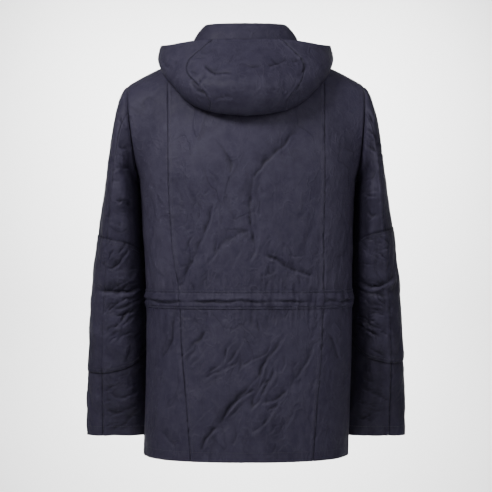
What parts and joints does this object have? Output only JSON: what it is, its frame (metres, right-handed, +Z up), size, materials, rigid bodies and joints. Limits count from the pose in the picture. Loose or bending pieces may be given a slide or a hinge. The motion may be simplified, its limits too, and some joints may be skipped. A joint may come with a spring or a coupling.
{
  "type": "waxed cotton jacket",
  "caption": "Hooded thigh-length jacket of dark navy waxed cotton, filled out as worn, with its hood lying back, open hem, cuffs and neck.",
  "frame": {"origin": "middle of the neck opening, level with the neck ends of the shoulder seams, where the wearer holds it up", "axes": "+Z up along the back, the wearer faces -Y, the wearer's left is +X"},
  "size_m": [0.6424, 0.3172, 0.8293],
  "materials": {
    "waxed_cotton": "dark navy cotton with a dull waxed sheen",
    "zip_tape": "dark navy woven tape",
    "zip_metal": "antique brass, dull"
  },
  "bodies": {
    "jacket": {"back_centre": "waxed_cotton", "back_side_l": "waxed_cotton", "back_side_r": "waxed_cotton", "front_l": "waxed_cotton", "front_r": "waxed_cotton", "waist_channel": "waxed_cotton", "top_sleeve_l": "waxed_cotton", "top_sleeve_r": "waxed_cotton", "under_sleeve_l": "waxed_cotton", "under_sleeve_r": "waxed_cotton", "elbow_patch_l": "waxed_cotton", "elbow_patch_r": "waxed_cotton", "collar": "waxed_cotton", "hood_centre": "waxed_cotton", "hood_side_l": "waxed_cotton", "hood_side_r": "waxed_cotton", "zip_tape_l": "zip_tape", "zip_tape_r": "zip_tape", "zip_chain": "zip_metal", "zip_slider": "zip_metal"},
    "pull_tab": {"zip_pull": "zip_metal"}
  },
  "joints": [
    {"name": "pull_tab_swing", "type": "hinge", "parent": "jacket", "child": "pull_tab", "pos_m": [0, -0.07887, -0.01063], "axis": [-1, 0, 0], "range_deg": [0, 150]}
  ]
}
